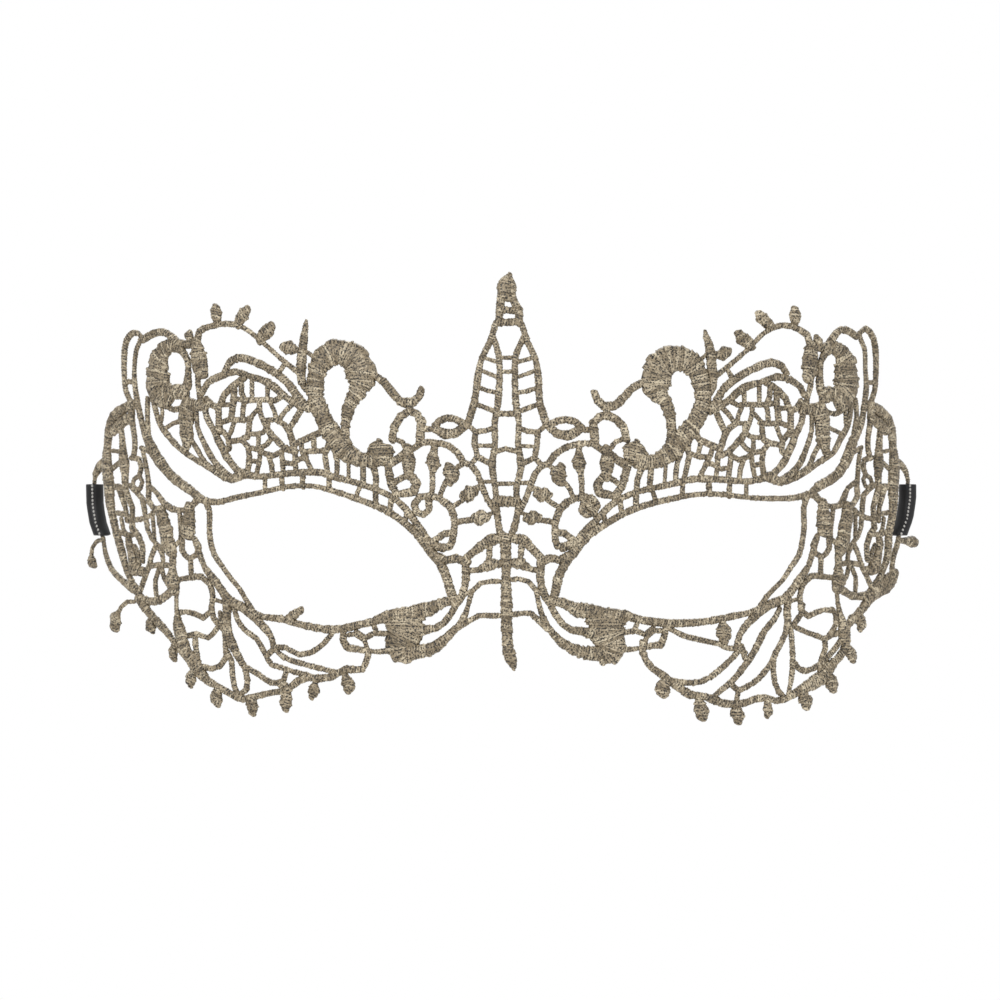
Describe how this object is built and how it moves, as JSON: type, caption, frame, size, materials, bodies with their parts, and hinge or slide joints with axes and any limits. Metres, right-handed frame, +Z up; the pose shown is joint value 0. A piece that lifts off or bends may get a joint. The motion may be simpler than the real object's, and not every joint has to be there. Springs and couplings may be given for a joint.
{
  "type": "masquerade eye mask",
  "caption": "Corded lace masquerade eye mask in champagne thread with a black satin tie ribbon looped on at each side.",
  "frame": {"origin": "nose seat: the back of the lace on the mask's centre plane, between the two eye openings", "axes": "+Y from the front of the mask into the head, +Z up, so the front looks along -Y and +X is on the viewer's right"},
  "size_m": [0.1668, 0.1006, 0.0908],
  "materials": {
    "champagne_thread": "metallic embroidery thread, satin-stitched cords",
    "black_satin": "glossy satin ribbon"
  },
  "bodies": {
    "root": {"lace_mask": "champagne_thread", "ribbon_left": "black_satin", "ribbon_right": "black_satin"}
  },
  "joints": []
}
